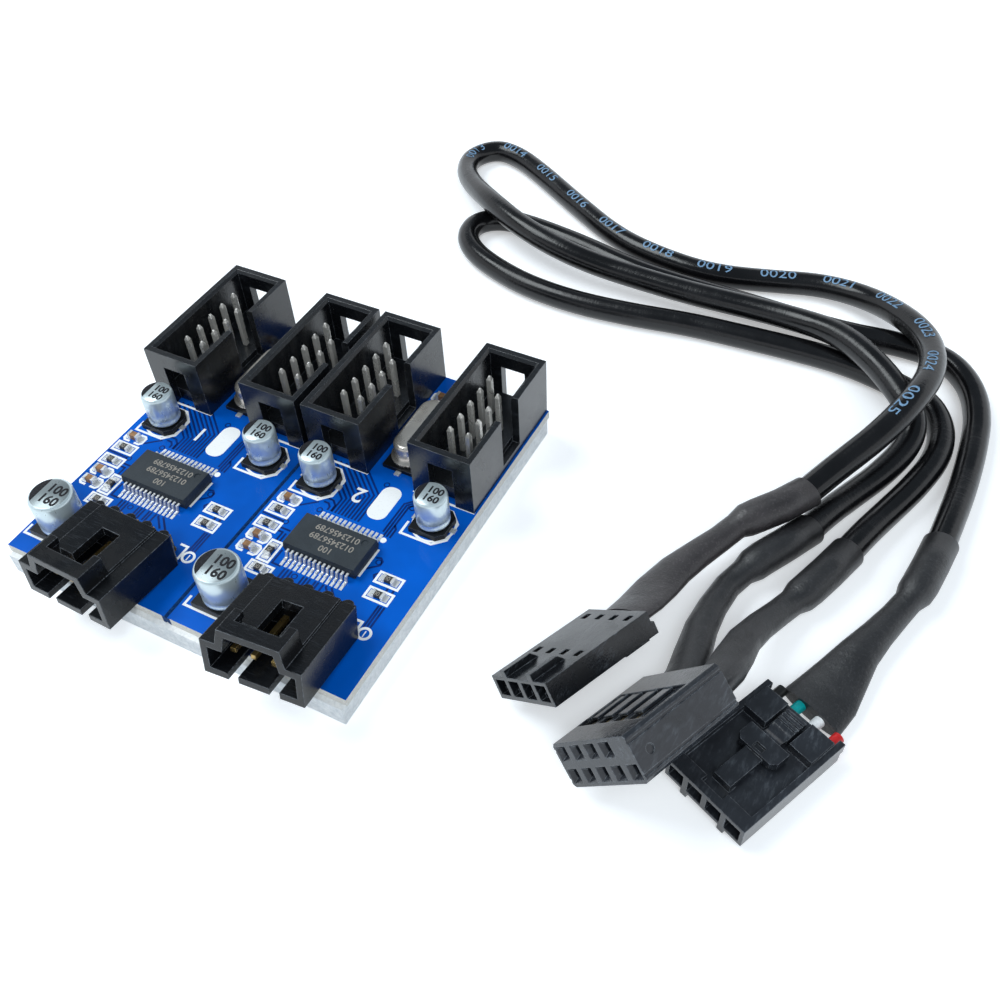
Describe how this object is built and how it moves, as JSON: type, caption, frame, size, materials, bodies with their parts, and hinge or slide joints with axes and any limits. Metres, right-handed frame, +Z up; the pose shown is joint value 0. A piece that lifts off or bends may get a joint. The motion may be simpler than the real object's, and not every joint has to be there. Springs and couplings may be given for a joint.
{
  "type": "usb header splitter cable",
  "caption": "Internal header splitter: a blue hub board with boxed pin headers and latching inputs on foam tape, fed by a black Y cable with a two-row plug and latching plugs.",
  "frame": {"origin": "on the foam tape's lower face, under the middle of the circuit board", "axes": "+X across the board along the row of headers, +Y from the inputs to the headers, +Z up out of the board"},
  "size_m": [0.1028, 0.1146, 0.0148],
  "materials": {
    "foam": "matt white closed-cell foam tape",
    "solder_mask": "satin blue solder mask with white print",
    "header_plastic": "moulded black plastic, semi-matt",
    "input_plastic": "moulded black plastic, semi-matt",
    "plug_plastic": "moulded black plastic, scuffed",
    "base_plastic": "black moulded seat",
    "tinned_pin": "dull tinned square wire",
    "tinned_lead": "bright tin",
    "gilt_pin": "thin gilt",
    "crimp_contact": "dull crimp contact",
    "capacitor_can": "satin drawn aluminium",
    "crystal_can": "pressed bright steel",
    "crystal_base": "dark moulded seat",
    "chip_plastic": "dark grey moulding compound",
    "resistor_body": "black glazed top",
    "ceramic_body": "tan fired ceramic",
    "heat_shrink": "matt dark heat-shrink",
    "cable_jacket": "soft black jacket with a low sheen",
    "wire_black": "black insulation",
    "wire_green": "green insulation",
    "wire_white": "white insulation",
    "wire_red": "red insulation"
  },
  "bodies": {
    "root": {"foam_pad": "foam", "circuit_board": "solder_mask", "header_shroud_1": "header_plastic", "header_pins_1": "tinned_pin", "port_capacitor_can_1": "capacitor_can", "port_capacitor_base_1": "base_plastic", "header_shroud_2": "header_plastic", "header_pins_2": "tinned_pin", "port_capacitor_can_2": "capacitor_can", "port_capacitor_base_2": "base_plastic", "header_shroud_3": "header_plastic", "header_pins_3": "tinned_pin", "port_capacitor_can_3": "capacitor_can", "port_capacitor_base_3": "base_plastic", "header_shroud_4": "header_plastic", "header_pins_4": "tinned_pin", "port_capacitor_can_4": "capacitor_can", "port_capacitor_base_4": "base_plastic", "input_shroud_left": "input_plastic", "input_pins_left": "gilt_pin", "hub_chip_left": "chip_plastic", "hub_chip_leads_left": "tinned_lead", "crystal_can_left": "crystal_can", "crystal_base_left": "crystal_base", "bulk_capacitor_can_left": "capacitor_can", "bulk_capacitor_base_left": "base_plastic", "capacitor_tabs_left": "tinned_lead", "resistor_blocks_left": "resistor_body", "ceramic_blocks_left": "ceramic_body", "chip_end_caps_left": "tinned_lead", "input_shroud_right": "input_plastic", "input_pins_right": "gilt_pin", "hub_chip_right": "chip_plastic", "hub_chip_leads_right": "tinned_lead", "crystal_can_right": "crystal_can", "crystal_base_right": "crystal_base", "bulk_capacitor_can_right": "capacitor_can", "bulk_capacitor_base_right": "base_plastic", "capacitor_tabs_right": "tinned_lead", "resistor_blocks_right": "resistor_body", "ceramic_blocks_right": "ceramic_body", "chip_end_caps_right": "tinned_lead", "hub_plug_housing_1": "plug_plastic", "hub_plug_contacts_1": "crimp_contact", "heat_shrink_hub_1": "heat_shrink", "heat_shrink_host_1": "heat_shrink", "cable_1": "cable_jacket", "hub_plug_housing_2": "plug_plastic", "hub_plug_contacts_2": "crimp_contact", "heat_shrink_hub_2": "heat_shrink", "heat_shrink_host_2": "heat_shrink", "cable_2": "cable_jacket", "host_plug_housing": "plug_plastic", "host_plug_contacts": "crimp_contact", "wires_black": "wire_black", "wires_green": "wire_green", "wires_white": "wire_white", "wires_red": "wire_red"}
  },
  "joints": []
}
